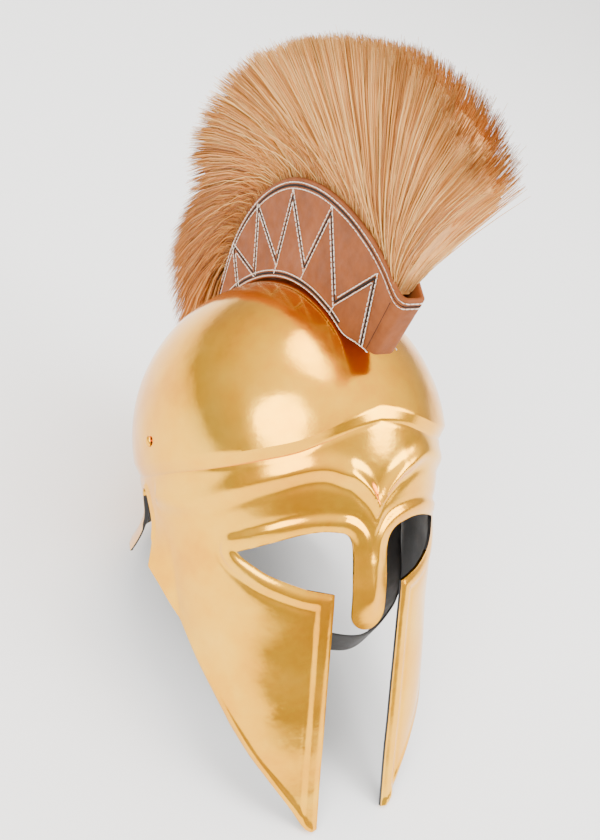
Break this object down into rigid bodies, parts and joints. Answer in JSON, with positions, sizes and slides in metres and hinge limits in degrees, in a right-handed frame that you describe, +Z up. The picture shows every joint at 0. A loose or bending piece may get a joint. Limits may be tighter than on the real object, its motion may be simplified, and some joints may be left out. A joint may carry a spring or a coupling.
{
  "type": "italo-corinthian helmet",
  "caption": "Brass helmet with raised brows, eye openings, nasal and long cheek pieces, a leather crest box with a horsehair plume, and a chin strap.",
  "frame": {"origin": "on the surface it rests on, under the middle of its box; it lies leaned back on the two cheek tips and the neck guard's rim", "axes": "+Z up from the surface, -Y towards the face side and the cheek tips, +X to the wearer's left"},
  "size_m": [0.2142, 0.4492, 0.4234],
  "materials": {
    "brass": "hammered and polished, lightly tarnished",
    "brown_leather": "vegetable-tanned, waxed",
    "horsehair": "combed natural hair",
    "black_leather": "dyed, satin"
  },
  "bodies": {
    "root": {"helmet_shell": "brass", "crest_box": "brown_leather", "plume": "horsehair", "crest_post": "brass", "chin_strap": "black_leather", "rivet_right": "brass", "rivet_left": "brass"}
  },
  "joints": []
}
